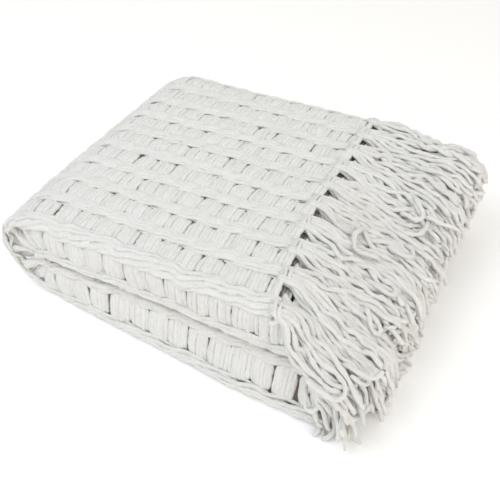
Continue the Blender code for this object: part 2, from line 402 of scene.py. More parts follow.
def tube_rings(paths, ups, widths, heights):
    """Rings round many paths at once: paths (n, k, 3), widths and heights (n, k)."""
    along = unit(np.gradient(paths, axis=1))
    beside = unit(np.cross(along, ups))
    above = np.cross(beside, along)
    angle = 2 * np.pi * np.arange(YARN_SIDES) / YARN_SIDES
    across = beside[:, :, None] * (np.cos(angle)[:, None] * widths[:, :, None, None] / 2)
    upwards = above[:, :, None] * (np.sin(angle)[:, None] * heights[:, :, None, None] / 2)
    lumps = 1 + rng.normal(0, PILE_LUMPS, paths.shape[:2] + (YARN_SIDES, 1))
    return paths[:, :, None] + (across + upwards) * lumps


def tube_faces(count, rings, first):
    """The faces of count closed tubes, whose vertices run ring by ring from first on."""
    index = first + np.arange(count * rings * YARN_SIDES).reshape(count, rings, YARN_SIDES)
    ahead = np.roll(index, -1, axis=2)
    corners = (index[:, :-1], ahead[:, :-1], ahead[:, 1:], index[:, 1:])
    walls = np.stack(corners, axis=-1).reshape(-1, 4).tolist()
    caps = index[:, 0, ::-1].tolist() + index[:, -1].tolist()
    return walls + caps


def yarn_piece(name, groups, tones, material):
    """One mesh of many yarns. A group has the rings of yarns of one length, and tones has
    the tones of its yarns."""
    vertices = []
    faces = []
    values = []
    total = 0
    for rings, tone in zip(groups, tones):
        count, per_yarn = rings.shape[:2]
        faces += tube_faces(count, per_yarn, total)
        vertices.append(rings.reshape(-1, 3))
        values.append(np.repeat(tone, per_yarn * YARN_SIDES))
        total += len(vertices[-1])
    piece = mesh_piece(name, np.concatenate(vertices), faces, material)
    point_values(piece, "tone", np.concatenate(values))
    return piece


def round_yarns(name, paths, ups, diameter, uneven, material, tip=1.0):
    """A piece of round yarns of one length. tip narrows their last ring."""
    paths = np.array(paths)
    girth = diameter * (1 + rng.normal(0, uneven, paths.shape[:2]))
    girth[:, -1] *= tip
    rings = tube_rings(paths, np.array(ups), girth, girth)
    return yarn_piece(name, [rings], [rng.random(len(paths))], material)


# -------- materials

CHENILLE_AND_HOLLOW_SHADE = ((0.915, 0.91, 0.897), (0.79, 0.772, 0.738))  # the pile's colour, and the painted shade of its hollows
SLIT_SHADE_COLOURS = ((0.17, 0.14, 0.11), (0.13, 0.105, 0.08))  # painted shade: a dark sheet colour for the deep shade in the slits, and its darker hollows
YARN_FINISH = {"Roughness": 0.95, "Specular IOR Level": 0.15,
               "Sheen Weight": 0.35, "Sheen Roughness": 0.5}
BLOTCH_NOISE = {"Scale": 90.0, "Detail": 3.0, "Roughness": 0.5}  # scales are lumps a metre
PILE_NOISE = {"Scale": 480.0, "Detail": 4.0, "Roughness": 0.85}
YARN_SHARE = 0.18  # how much a yarn's tone, the pile's painted shade and the blotches count
PILE_SHARE = 1.7
BLOTCH_SHARE = 0.4
SHADE_BASE = -0.62
SHADE_PLACES = (0.20, 0.70)  # where the painted shade of the hollows ends and the pile's colour begins
PILE_BUMP = 0.0013
RIB_BUMP = 0.0022
BAND_RIB = 0.0040  # from one rib to the next in a band
ROW_EDGE = -0.35  # a row is where the wave across the rows is above this


def set_inputs(node, values):
    for name, value in values.items():
        node.inputs[name].default_value = value


def new_material(name, finish):
    """A material with this finish, and its shader."""
    material = bpy.data.materials.new(name)
    material.use_nodes = True
    shader = material.node_tree.nodes["Principled BSDF"]
    set_inputs(shader, finish)
    return material, shader


def math_node(tree, operation, *values):
    """A Math node. Each value is a number or another node's output."""
    node = tree.nodes.new("ShaderNodeMath")
    node.operation = operation
    for socket, value in zip(node.inputs, values):
        if isinstance(value, float):
            socket.default_value = value
        else:
            tree.links.new(value, socket)
    return node.outputs[0]


def noise_node(tree, values):
    place = tree.nodes.new("ShaderNodeTexCoord")
    node = tree.nodes.new("ShaderNodeTexNoise")
    set_inputs(node, values)
    tree.links.new(place.outputs["Object"], node.inputs["Vector"])
    return node.outputs["Fac"]


def attribute_node(tree, name):
    node = tree.nodes.new("ShaderNodeAttribute")
    node.attribute_name = name
    return node.outputs["Fac"]


def bump_node(tree, height, distance):
    node = tree.nodes.new("ShaderNodeBump")
    set_inputs(node, {"Strength": 1.0, "Distance": distance})
    tree.links.new(height, node.inputs["Height"])
    return node


def weave_height(tree):
    """Ribs along the blocks and the bands, read from the sheet's own lengths."""
    along = attribute_node(tree, "along")
    across = attribute_node(tree, "across")
    ribs = []
    for length, pitch in ((along, YARN_STEP), (across, BAND_RIB)):
        wave = math_node(tree, "SINE", math_node(tree, "MULTIPLY", length, math.pi / pitch))
        ribs.append(math_node(tree, "ABSOLUTE", wave))
    start = math.pi / 2 - 2 * math.pi * TOP_ROW / ROW_PITCH
    turn = math_node(tree, "MULTIPLY", across, 2 * math.pi / ROW_PITCH)
    row = math_node(tree, "SINE", math_node(tree, "ADD", turn, start))
    in_row = math_node(tree, "GREATER_THAN", row, ROW_EDGE)
    in_band = math_node(tree, "LESS_THAN", in_row, 0.5)
    block = math_node(tree, "MULTIPLY", ribs[0], in_row)
    band = math_node(tree, "MULTIPLY", ribs[1], in_band)
    return math_node(tree, "ADD", block, band)


def yarn_material(name, colours, woven=False):
    """Chenille with a sheen, uneven in tone, with painted shade in the pile's hollows, and with its
    pile and perhaps its ribs as bump.
    """
    material, shader = new_material(name, YARN_FINISH)
    tree = material.node_tree
    pile = noise_node(tree, PILE_NOISE)
    blotches = noise_node(tree, BLOTCH_NOISE)
    tone = attribute_node(tree, "tone")
    # painted shade: the pile's noise darkens the colour towards the hollows' shade, for the shade
    # among its fibres
    light = math_node(tree, "MULTIPLY_ADD", blotches, BLOTCH_SHARE, SHADE_BASE)
    light = math_node(tree, "MULTIPLY_ADD", pile, PILE_SHARE, light)
    light = math_node(tree, "MULTIPLY_ADD", tone, YARN_SHARE, light)
    shades = tree.nodes.new("ShaderNodeValToRGB")
    ends = shades.color_ramp.elements
    for end, position, colour in zip(ends, SHADE_PLACES, reversed(colours)):
        end.position = position
        end.color = (*colour, 1.0)
    tree.links.new(light, shades.inputs["Fac"])
    tree.links.new(shades.outputs["Color"], shader.inputs["Base Color"])
    bump = bump_node(tree, pile, PILE_BUMP)
    tree.links.new(bump.outputs["Normal"], shader.inputs["Normal"])
    if woven:
        ribs = bump_node(tree, weave_height(tree), RIB_BUMP)
        tree.links.new(ribs.outputs["Normal"], bump.inputs["Normal"])
    return material


# -------- the base sheet

SHEET_RISE = -0.0025  # the base sheet's middle, below the ply's
SHEET_THICKNESS = 0.003
SHEET_COLUMNS = {"inner_flap": 22, "back_fold": 12, "outer_panel": 26,
                 "front_fold": 18, "last_flap": 22}
TOP_STEPS = 35  # rows of faces from the outer hem to the left fold,
BOTTOM_STEPS = 63  # round it and along the bottom,
INNER_TURN_STEPS = 5  # round the inner turn,
RETURN_STEPS = 55  # back along the inner ply to the left fold's end,
INNER_HEM_STEPS = 31  # and from there to the inner hem
SLIT_SHADE_SLOT = 0
PLAIN_SLOT = 1


def sheet_profile():
    """What Profile.at gives, at each column of the sheet."""
    parts = []
    for section in SECTIONS:
        share = np.linspace(0, 1, SHEET_COLUMNS[section] + 1)
        part = np.array(profile_section(section, share))
        parts.append(part[:, 1:] if parts else part)
    return np.concatenate(parts, axis=1)


def sheet_rows(profile, t):
    """The points of the sheet, row by row from the outer hem to the inner one."""
    outer_hem = hem_x(*ply_at(profile, HALF_PITCH))
    inner_hem = hem_x(*ply_at(profile, -HALF_PITCH))
    rise = HALF_PITCH + SHEET_RISE
    turn_end = BOTTOM_END - np.pi * HALF_PITCH
    outer = [outer_hem * share for share in np.linspace(1, 0, TOP_STEPS + 1)[:-1]]
    outer += list(np.linspace(0, BOTTOM_END, BOTTOM_STEPS + 1))
    turn = np.linspace(BOTTOM_END, turn_end, INNER_TURN_STEPS + 1)[1:]
    inner = list(np.linspace(BOTTOM_END, 0, RETURN_STEPS + 1)[1:])
    inner += [inner_hem * share for share in np.linspace(0, 1, INNER_HEM_STEPS + 1)[1:]]
    rows = [cloth_point(s + 0 * t, profile, rise - front_sink(s, t)) for s in outer]
    rows += [cloth_point(s + 0 * t, profile, rise) for s in turn]
    rows += [cloth_point(s + 0 * t, profile, -rise) for s in inner]
    return np.array(rows)


def base_sheet(slit_shade_material, plain_material):
    """Every layer of the folded cloth, as one thin sheet from hem to hem, with painted slit shade.
    """
    profile = sheet_profile()
    t = OUTER.t[0] - lengths_along(*ply_at(profile, HALF_PITCH))
    rows = sheet_rows(profile, t)
    faces = grid_faces(len(rows), len(t))
    piece = mesh_piece("cloth_base", rows, faces, slit_shade_material)
    piece.data.materials.append(plain_material)
    steps = np.linalg.norm(np.diff(rows[:, len(t) // 2], axis=0), axis=1)
    along, across = np.meshgrid(np.concatenate([[0], np.cumsum(steps)]), t, indexing="ij")
    point_values(piece, "along", along)
    point_values(piece, "across", across)
    # painted shade: under the weave the sheet takes a dark colour, standing for the deep shade in
    # the slits and holes between the yarns
    slit_shade = (t[:-1] > MIDDLE_BAND + 2 * UPPER_DRAW) & (t[:-1] < TOP_ROW + ROWS * ROW_PITCH)
    slots = np.full((len(rows) - 1, len(t) - 1), PLAIN_SLOT, dtype=np.int32)
    slots[:TOP_STEPS + BOTTOM_STEPS] = np.where(slit_shade, SLIT_SHADE_SLOT, PLAIN_SLOT)
    turn_from = TOP_STEPS - 1
    turn_to = turn_from + int(BOTTOM_STEPS * TURN_LENGTH / -BOTTOM_END) + 1
    slots[turn_from:turn_to, t[:-1] < LIP_BAND] = PLAIN_SLOT
    piece.data.polygons.foreach_set("material_index", slots.ravel())
    solid = piece.modifiers.new("thickness", "SOLIDIFY")
    solid.thickness = SHEET_THICKNESS
    solid.offset = 0.0
    return piece


# -------- the weft blocks

WEFT_RINGS = 10
WEFT_WIDTH = 0.0079  # the yarns of a block press into each other
WEFT_HEIGHT = 1.05 * YARN
WEFT_UNEVEN = 0.05
WEFT_TOP = 0.0016  # rise of a weft yarn's middle above the ply's, in a block
DIP_RAMP = (0.42, 0.50)  # where it goes down, as shares of its float's half length
# How uneven and how tight the blocks are, how far their yarns dip under the bands, how much
# lower the outer yarns lie, what the left fold adds to that, and how much the blocks lean
FRONT_BLOCKS = {"uneven": 2.2, "tight": 0.97, "dip": 0.0036,
                "round": 0.0018, "turn_round": 0.0045, "lean": 0.0}
TOP_BLOCKS = {"uneven": 1.0, "tight": 1.0, "dip": 0.0052,
              "round": 0.0014, "turn_round": 0.0, "lean": 2.6}
TURN_BLOCKS = 0.075  # half the length of the place round the left fold
HEM_OVERHANG = 0.004  # a row's last yarn is this far outside the hem
TOP_ROW_END = -TURN_LENGTH + 0.02  # s where most rows end, nearly round the left fold,
YARN_END = BOTTOM_END - 0.01  # and where those rows and bands do that run on along the bottom
HOLE_SHARE = 0.35  # this share of the blocks is drawn in at its upper end,
HOLE_PINCH = (0.22, 0.48)  # by this share of its width, and the others by less
UPPER_PINCH = (0.0, 0.08)
LOWER_PINCH = (0.07, 0.25)  # the spread of the same at the lower end, and its most
# The spread of the errors of a block, and of each yarn in it
BLOCK_ERRORS = {"slant": 0.0007, "place": 0.0004, "rise": 0.0004}
YARN_ERRORS = {"place": 0.0004, "bow": 0.0007, "slip": 0.0006, "rise": 0.0003, "bumps": 0.00025}


def row_place(row):
    """t of a row's middle, and half the length of its yarns' floats."""
    if row == -1:
        return MIDDLE_BAND - ROW_PITCH / 2, TOP_FLOAT
    if row == 0:
        return FRONT_ROW, FRONT_FLOAT
    return TOP_ROW + (row - 1) * ROW_PITCH, TOP_FLOAT


def block_places():
    """Every block that can be seen: its row, its middle's s and its number of yarns."""
    places = []
    for row in range(-1, ROWS):
        t = row_place(row)[0]
        shift = row_shift(t)
        hem = hem_at(t) + HEM_OVERHANG
        end = YARN_END if row < 1 or row > BACK_ROW else TOP_ROW_END
        block = math.floor((hem - shift) / BLOCK_PITCH)
        while shift + block * BLOCK_PITCH > end:
            s = shift + (block + 0.5) * BLOCK_PITCH
            room = hem - s + YARN_STEP * (BLOCK_YARNS / 2)
            yarns = min(BLOCK_YARNS, int(room / YARN_STEP))
            if yarns > 0:
                places.append((row, s, yarns))
            block -= 1
    return places


def block_paths(row, s, yarns):
    """The path and the way up of each yarn of a block."""
    kind = FRONT_BLOCKS if row < 1 else TOP_BLOCKS
    middle, reach = row_place(row)
    along = np.linspace(-1, 1, WEFT_RINGS)
    lean = 2 * SKEW * (middle - SKEW_MIDDLE)
    slant = kind["uneven"] * rng.normal(0, BLOCK_ERRORS["slant"]) + reach * kind["lean"] * lean ** 3
    upper = rng.uniform(*HOLE_PINCH) if rng.random() < HOLE_SHARE else rng.uniform(*UPPER_PINCH)
    lower = min(abs(rng.normal(0.0, LOWER_PINCH[0])), LOWER_PINCH[1])
    squeeze = np.where(along > 0, upper, lower) * along ** 2
    depth = kind["round"] + kind["turn_round"] * hill(s, -TURN_LENGTH / 2, TURN_BLOCKS)
    dip = kind["dip"] * ramp(np.abs(along), *DIP_RAMP)
    block_s = s + slant * along + kind["uneven"] * rng.normal(0, BLOCK_ERRORS["place"])
    block_rise = HALF_PITCH + WEFT_TOP + rng.normal(0, BLOCK_ERRORS["rise"]) - dip
    half = (BLOCK_YARNS - 1) / 2
    found = []
    for yarn in range(yarns):
        place = (yarn - half) / half
        beside = place * half * YARN_STEP * kind["tight"] * (1 - squeeze)
        here_s = block_s + beside + rng.normal(0, YARN_ERRORS["place"])
        here_s = here_s + rng.normal(0, YARN_ERRORS["bow"]) * (1 - along ** 2)
        t = middle + along * reach + rng.normal(0, YARN_ERRORS["slip"])
        rise = block_rise - depth * place ** 2 - front_sink(here_s, t)
        rise = rise + rng.normal(0, YARN_ERRORS["rise"])
        rise = rise + rng.normal(0, YARN_ERRORS["bumps"], WEFT_RINGS)
        found.append(cloth_path(here_s, OUTER.at(drawn_in(here_s, t)), rise))
    return found


def weft_blocks(material):
    found = []
    for place in block_places():
        found += block_paths(*place)
    paths, ups = (np.array(values) for values in zip(*found))
    wide = WEFT_WIDTH * (1 + rng.normal(0, WEFT_UNEVEN, paths.shape[:2]))
    tall = WEFT_HEIGHT * (1 + rng.normal(0, WEFT_UNEVEN, paths.shape[:2]))
    rings = tube_rings(paths, ups, wide, tall)
    return yarn_piece("weft_blocks", [rings], [rng.random(len(paths))], material)


# -------- the warp bands

BAND_YARNS = ((-0.0067, -0.0029, 0.0010, 0.0049),  # t of the two sets
              (-0.0049, -0.0010, 0.0029, 0.0067))
BAND_EDGE = BAND_YARNS[0][0]
BAND_STEP = BLOCK_PITCH / 7
BAND_RISE = 0.0012  # rise of a band's middle above the ply's
BAND_WAVE = 0.0018  # the two sets go this far over and under each other
FRONT_BAND_WAVE = 0.0009
BAND_CREST = 1.6  # the higher this is, the flatter each float
BAND_SWELL = 0.06  # the set that is over the other is spread wider by this share
BAND_ROUND = 0.0020  # the outer yarns of a band lie this much lower
BAND_ZIGZAG = 0.0020  # each float crosses the band at a slant
BAND_WIDTH = 1.22  # a yarn's width and height by its diameter,
BAND_HEIGHT = 0.88
CREST_WIDTH = 0.10  # and what a crest adds to its width
BAND_UNEVEN = 0.04
TOP_BAND_END = -TURN_LENGTH - 0.02
LIP_WIDTH = 1.45  # the bands on the front are spread wider,
LIP_YARN_POWER = 0.8  # and their yarns nearly as much
LIP_RISE = 0.0008  # the one along the front edge stands out over the front row
SIDE_WANDER = (0.0006, (60, 110))  # each yarn's own waves, sideways and in height:
RISE_WANDER = (0.0005, (70, 140))  # size and radians a metre
WANDER_STARTS = (0, 6)


def band_places():
    """Each band's t, its width beside the others', and the s where it ends."""
    places = [(MIDDLE_BAND, LIP_WIDTH, YARN_END), (LIP_BAND, LIP_WIDTH, YARN_END)]
    for row in range(1, ROWS):
        t = TOP_ROW + (row - 0.5) * ROW_PITCH
        places.append((t, 1.0, TOP_BAND_END if row < BACK_ROW else YARN_END))
    return places


def wander(s, size, waves):
    return size * np.sin(s * rng.uniform(*waves) + rng.uniform(*WANDER_STARTS))


def band_yarns(t, spread, s_from, s_to):
    """The path, the way up, the widths and the heights of each yarn of a band."""
    steps = int(round((s_from - s_to) / BAND_STEP)) + 1
    s = np.linspace(s_from, s_to, steps)
    phase = np.pi * (s - row_shift(t)) / BLOCK_PITCH
    found = []
    for which, offsets in enumerate(BAND_YARNS):
        over = np.tanh(BAND_CREST * np.cos(phase + np.pi * which)) / np.tanh(BAND_CREST)
        slant = BAND_ZIGZAG * np.sin(phase + np.pi * which)
        for offset in offsets:
            here_t = t + spread * offset * (1 + BAND_SWELL * over) + slant
            here_t = here_t + wander(s, *SIDE_WANDER)
            wave = BAND_WAVE if spread == 1 else FRONT_BAND_WAVE
            rise = HALF_PITCH + BAND_RISE + wave * over - front_sink(s, here_t)
            rise = rise - BAND_ROUND * (offset / BAND_EDGE) ** 2
            if t == LIP_BAND:
                rise = rise + LIP_RISE
            rise = rise + wander(s, *RISE_WANDER)
            path, up = cloth_path(s, OUTER.at(drawn_in(s, here_t)), rise)
            girth = YARN * (1 + rng.normal(0, BAND_UNEVEN, steps))
            wide = girth * (BAND_WIDTH + CREST_WIDTH * over) * spread ** LIP_YARN_POWER
            found.append((path, up, wide, girth * BAND_HEIGHT))
    return found


def warp_bands(material):
    places = band_places()
    middle = len(places) // 2
    pieces = []
    for half, bands in (("front", places[:middle]), ("back", places[middle:])):
        groups = []
        tones = []
        for t, spread, end in bands:
            for yarn_values in band_yarns(t, spread, hem_at(t), end):
                groups.append(tube_rings(*(values[None] for values in yarn_values)))
                tones.append(rng.random())
        pieces.append(yarn_piece("warp_bands_" + half, groups, tones, material))
    return pieces


SELVEDGE_TWIST = 0.022  # length of one turn of the two yarns
SELVEDGE_RADIUS = 0.0023
SELVEDGE_SINK = 0.4  # they lie this share of the sheet's depth below the ply
SELVEDGE_UNEVEN = 0.05


def selvedge(material):
    """Two twisted yarns along the edge of each ply of the last flap."""
    edge_t = OUTER.t.min()
    y, height, out_y, out_z = OUTER.at(edge_t)
    s = np.arange(hem_at(edge_t), BOTTOM_END, -BAND_STEP)
    found = []
    for ply, start in itertools.product((HALF_PITCH, -HALF_PITCH), (0, np.pi)):
        angle = 2 * np.pi * s / SELVEDGE_TWIST + start
        edge = (y + SELVEDGE_RADIUS * np.cos(angle), height, out_y, out_z)
        sink = SHEET_RISE * np.sign(ply) * SELVEDGE_SINK
        found.append(cloth_path(s, edge, ply + sink + SELVEDGE_RADIUS * np.sin(angle)))
    return round_yarns("selvedge", *zip(*found), YARN, SELVEDGE_UNEVEN, material)


# -------- the fringe

PLIES = ((OUTER, HALF_PITCH), (INNER, -HALF_PITCH))
BUNCH_YARNS = 14
FRONT_BUNCH_YARNS = 11  # those near the front hang more openly,
FRONT_SWAY = 0.024  # fall this far forwards, over the front corner,
FRONT_HANG = 0.008  # and hang this much nearer the stack's end
FRONT_SHARE = -0.8  # where across_stack is below this
BUNCH_COLUMNS = 6
COLUMN_STEP = 0.0040  # from one column of a bunch's strands to the next
CLUMPS = 3  # strands of a clump hang together
LAYER_RISES = (-0.0024, 0.0012, 0.0032)
FRINGE_POINTS = 34  # along each strand
FRINGE_START = 0.008  # how far inside the hem a strand begins
FRINGE_LENGTH = 0.168
FRINGE_YARN = 0.0062
FRINGE_UNEVEN = 0.12
FRINGE_TIP = 0.62  # width of a strand's end
STRAND_UP = (0.25, 0.1, 1.0)
FALL_FIRST = 0.406  # x where the lowest strands hang
FALL_STEP = (0.0072, 0.0112)  # and what each layer above adds, front and back
FIRST_LEVEL = 0.5  # the level of the innermost layers
FALL_BOW = 0.006
FALL_ROUNDNESS = 0.58
ROUND_LENGTH = 1.28  # length of the round part beside its reach
FAR_DOWN = 0.3  # the straight part goes on this far
ARC_POINTS = 60
SHOULDER = (0.22, 0.64)  # share of a strand's reach that is level, front and back
ANY_START = (0, 6.3)  # radians
BUNCH_LEAN = 0.004  # how far the bunches sway to the back
CLUMP_FAN = 0.009  # from one clump of a bunch to the next
# The spread of how far strands sway and how far out they fall
SWAY = {"bunch": 0.009, "clump": 0.007, "strand": 0.003}
FALL = {"bunch": 0.004, "clump": 0.005, "strand": 0.003}
CLUMP_WAVE = ((0.001, 0.005), (6, 15), ANY_START)  # size, turns a metre and start
STRAND_WAVE = (0.001, 1.0, 0.4)
STRAND_PLACE = 0.0005
STRAND_LENGTH = 0.07  # the spread of the strands' lengths, as a share
FLOOR_LENGTH = (-0.004, 0.014)  # how much longer it can be than its way to the floor
SWAY_POWER = 1.4
WAVES_RAMP = (0.01, 0.05)  # where along a strand its waves grow
WAVES_OUT = 0.6  # they are smaller outwards than sideways, and out of step
WAVES_OUT_PHASE = 1.7
CRIMP = 0.0014  # each strand's own small waves
CRIMP_TURNS = (22, 38)  # turns a metre
# Curled ends: their share, the points that they start between, and the limits of their radius
CURLS = {"plain": (0.24, (24, 31), (0.010, 0.028)),
         "front": (0.42, (19, 27), (0.009, 0.015)),
         "stray": (0.06, (24, 27), (0.006, 0.009))}
STRAY_ACROSS = 0.7  # strays are where across_stack is below this,
STRAY_OUT = 0.014  # and hang this much further out
CURL_MOST = 3.0  # radians; past it the end is straight


def bunch_starts(profile):
    """t of every warp band, as far as the cloth's two edges."""
    last = math.floor((profile.t.max() - TOP_ROW) / ROW_PITCH - 0.5)
    places = [TOP_ROW + (row + 0.5) * ROW_PITCH for row in range(last + 1)]
    places += [LIP_BAND, MIDDLE_BAND]
    while places[-1] - ROW_PITCH > profile.t.min():
        places.append(places[-1] - ROW_PITCH)
    return places


def strand_path(start, fall_x, length, sway, wave, curl):
    """One strand as it first lies: out over the hem, then down, with its own waves."""
    steps = np.linspace(0, length, FRINGE_POINTS)
    level = mix(*SHOULDER, np.clip(start[1] / STACK_DEPTH, 0, 1)) * (fall_x - start[0])
    reach = fall_x - start[0] - level
    drop = FALL_ROUNDNESS * reach
    angles = np.linspace(0, np.pi / 2, ARC_POINTS)
    curve_x = np.concatenate([[start[0]], start[0] + level + reach * np.sin(angles), [fall_x]])
    falls = np.concatenate([[0], drop * (1 - np.cos(angles)), [drop + FAR_DOWN]])
    curve_z = start[2] - falls
    along = lengths_along(curve_x, curve_z)
    x = np.interp(steps, along, curve_x)
    z = np.interp(steps, along, curve_z)
    free = ramp(steps, *WAVES_RAMP)
    size, turns, phase = wave
    swing = size * free * np.sin(2 * np.pi * turns * steps + phase)
    y = start[1] + sway * (steps / FRINGE_LENGTH) ** SWAY_POWER + swing
    x = x + WAVES_OUT * size * free * np.cos(2 * np.pi * turns * steps + WAVES_OUT_PHASE * phase)
    crimp = rng.uniform(*CRIMP_TURNS, 2)
    y = y + CRIMP * free * np.sin(2 * np.pi * crimp[0] * steps + rng.uniform(*ANY_START))
    z = z + CRIMP * free * np.sin(2 * np.pi * crimp[1] * steps + rng.uniform(*ANY_START))
    path = np.stack([x, y, z], axis=-1)
    return path if curl is None else curl_end(path, *curl)


def curl_end(path, from_point, radius, hand):
    """The end of a strand bends round to one side, along the face of the fringe."""
    spacing = np.linalg.norm(path[1] - path[0])
    forward = unit(path[from_point] - path[from_point - 1])
    outwards = np.array([-forward[2], 0.0, forward[0]])
    side = unit(np.cross(forward, outwards)) * hand
    middle = path[from_point] + side * radius
    whole = np.arange(len(path) - from_point) * spacing / radius
    angle = np.minimum(whole, CURL_MOST)
    turn = -side * np.cos(angle)[:, None] + forward * np.sin(angle)[:, None]
    straight = side * np.sin(CURL_MOST) + forward * np.cos(CURL_MOST)
    path[from_point:] = middle + (turn + straight * (whole - angle)[:, None]) * radius
    return path


def random_curl(kind):
    """The point that a curl starts from, its radius and its hand."""
    _, points, radii = CURLS[kind]
    return rng.integers(*points), rng.uniform(*radii), rng.choice((-1, 1))


def strand_curl(at_front, across):
    """A strand's curl, if it has one, and how much further out it hangs."""
    kind = "front" if at_front else "plain"
    curl = None
    chance = rng.random()
    if chance < CURLS[kind][0]:
        curl = random_curl(kind)
    if chance < CURLS["stray"][0] and across < STRAY_ACROSS:
        return random_curl("stray"), STRAY_OUT
    return curl, 0.0


def bunch_clumps(at_front):
    """How each clump of a bunch's strands hangs: its sway, its fall and its waves."""
    bunch_sway = rng.normal(BUNCH_LEAN, SWAY["bunch"]) - FRONT_SWAY * at_front
    bunch_fall = rng.normal(0.0, FALL["bunch"])
    clumps = []
    for clump in range(CLUMPS):
        fan = (clump - (CLUMPS - 1) / 2) * CLUMP_FAN
        sway = bunch_sway + fan + rng.normal(0, SWAY["clump"])
        wave = [rng.uniform(*limits) for limits in CLUMP_WAVE]
        clumps.append((sway, bunch_fall + rng.normal(0, FALL["clump"]), wave))
    return clumps


def new_strand(folded, offset, rise, clump, at_front):
    """One strand. It hangs as its clump does, but not quite."""
    clump_sway, clump_fall, clump_wave = clump
    y, height = ply_at(folded, offset)
    start = cloth_point(hem_x(y, height) - FRINGE_START, folded, rise)
    across = across_stack(y)
    level = height / LAYER_PITCH - FIRST_LEVEL
    fall_x = FALL_FIRST + mix(*FALL_STEP, y / STACK_DEPTH) * level
    fall_x = fall_x + FALL_BOW * (1 - across ** 2) + clump_fall + rng.normal(0, FALL["strand"])
    fall_x = fall_x - FRONT_HANG * at_front
    sway = clump_sway + rng.normal(0, SWAY["strand"])
    size, turns, phase = (rng.normal(0, spread) for spread in STRAND_WAVE)
    wave = (clump_wave[0] + abs(size), clump_wave[1] + turns, clump_wave[2] + phase)
    reach = fall_x - start[0]
    to_floor = ROUND_LENGTH * reach + start[2] - FALL_ROUNDNESS * reach
    length = min(FRINGE_LENGTH * rng.normal(1.0, STRAND_LENGTH) + FRINGE_START,
                 to_floor + rng.uniform(*FLOOR_LENGTH))
    curl, out = strand_curl(at_front, across)
    return strand_path(start, fall_x + out, length, sway, wave, curl)


def first_strands():
    """Every strand as it first lies, and its comb."""
    paths = []
    combs = []
    for comb, (profile, offset) in enumerate(PLIES):
        for t in bunch_starts(profile):
            at_front = across_stack(profile.at(t)[0]) < FRONT_SHARE
            clumps = bunch_clumps(at_front)
            for strand in range(FRONT_BUNCH_YARNS if at_front else BUNCH_YARNS):
                layer, column = divmod(strand, BUNCH_COLUMNS)
                beside = column - (BUNCH_COLUMNS - 1) / 2
                folded = profile.at(t + beside * COLUMN_STEP + rng.normal(0, STRAND_PLACE))
                rise = offset + LAYER_RISES[layer]
                clump = clumps[column * CLUMPS // BUNCH_COLUMNS]
                paths.append(new_strand(folded, offset, rise, clump, at_front))
                combs.append(comb)
    return np.array(paths), np.array(combs)


PINNED = 4  # points that the cloth holds
WALL_MARGIN = np.array([0.020, 0.019, 0.008])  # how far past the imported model's box
NEAR_WALL = np.array([-np.inf, CAD_BOX[0][1] - PLACE[1] - WALL_MARGIN[1], 0.0])
FAR_WALL = np.array(CAD_BOX[1]) - PLACE + WALL_MARGIN
END_WALL = BOTTOM_REACH + HALF_PITCH + CLOTH_THICKNESS / 2
NO_WAY = 1.0  # further than any way out of the stack
TOP_GAP = 0.001  # the strands lie this far above the stepped layers
FRONT_BULGE = PANEL_FRONT - FRONT_FOLD_BULGE - HALF_PITCH - CLOTH_THICKNESS / 2
FOLD_LEVEL = (OUTER_PANEL_LEVEL + LAST_FLAP_LEVEL) / 2
LOOSENESS = 0.85  # the pile keeps the strands this much apart, by their width
PUSH_SHARE = 0.35  # the share of what is missing that a push makes up,
PUSH_MOST = 0.002  # and the most that it moves a point
NEAREST = 1e-6
SETTLE_STEPS = 120
GRAVITY = 0.00008  # metres a step, each step
BACK_LIFT = 0.85  # the fuller pile at the back holds its strands up
DAMPING = 0.82
STEP_MOST = 0.003
BEND_ROUNDS = 2
STIFFNESS = 0.20


def near_pairs(points, reach):
    """Every pair of points closer than reach, found in a grid of cells."""
    cell = np.floor((points - points.min(axis=0)) / reach).astype(np.int64)
    width = cell.max(axis=0) + 3
    key = (cell[:, 0] * width[1] + cell[:, 1]) * width[2] + cell[:, 2]
    order = np.argsort(key, kind="stable")
    sorted_key = key[order]
    firsts = []
    seconds = []
    cells = list(itertools.product((-1, 0, 1), repeat=3))
    for i, j, k in cells[len(cells) // 2:]:  # the cell itself, and half of its neighbours
        shift = (i * width[1] + j) * width[2] + k
        start = np.searchsorted(sorted_key, sorted_key + shift, side="left")
        stop = np.searchsorted(sorted_key, sorted_key + shift, side="right")
        if shift == 0:
            start = np.arange(len(order)) + 1
        for extra in range(int((stop - start).max())):
            found = np.nonzero(start + extra < stop)[0]
            firsts.append(order[found])
            seconds.append(order[start[found] + extra])
    first = np.concatenate(firsts)
    second = np.concatenate(seconds)
    gap = points[first] - points[second]
    near = np.einsum("ij,ij->i", gap, gap) < reach * reach
    return first[near], second[near]


def push_apart(points, per_strand, reach):
    """Strands that are too close move apart."""
    flat = points.reshape(-1, 3)
    first, second = near_pairs(flat, reach)
    other = first // per_strand != second // per_strand
    first = first[other]
    second = second[other]
    gap = flat[first] - flat[second]
    distance = np.linalg.norm(gap, axis=1)
    amount = (reach - distance) * PUSH_SHARE
    push = gap / np.maximum(distance, NEAREST)[:, None] * amount[:, None]
    for axis in range(3):
        moved = np.bincount(first, push[:, axis], len(flat))
        moved -= np.bincount(second, push[:, axis], len(flat))
        flat[:, axis] += np.clip(moved, -PUSH_MOST, PUSH_MOST)
    return flat.reshape(points.shape)


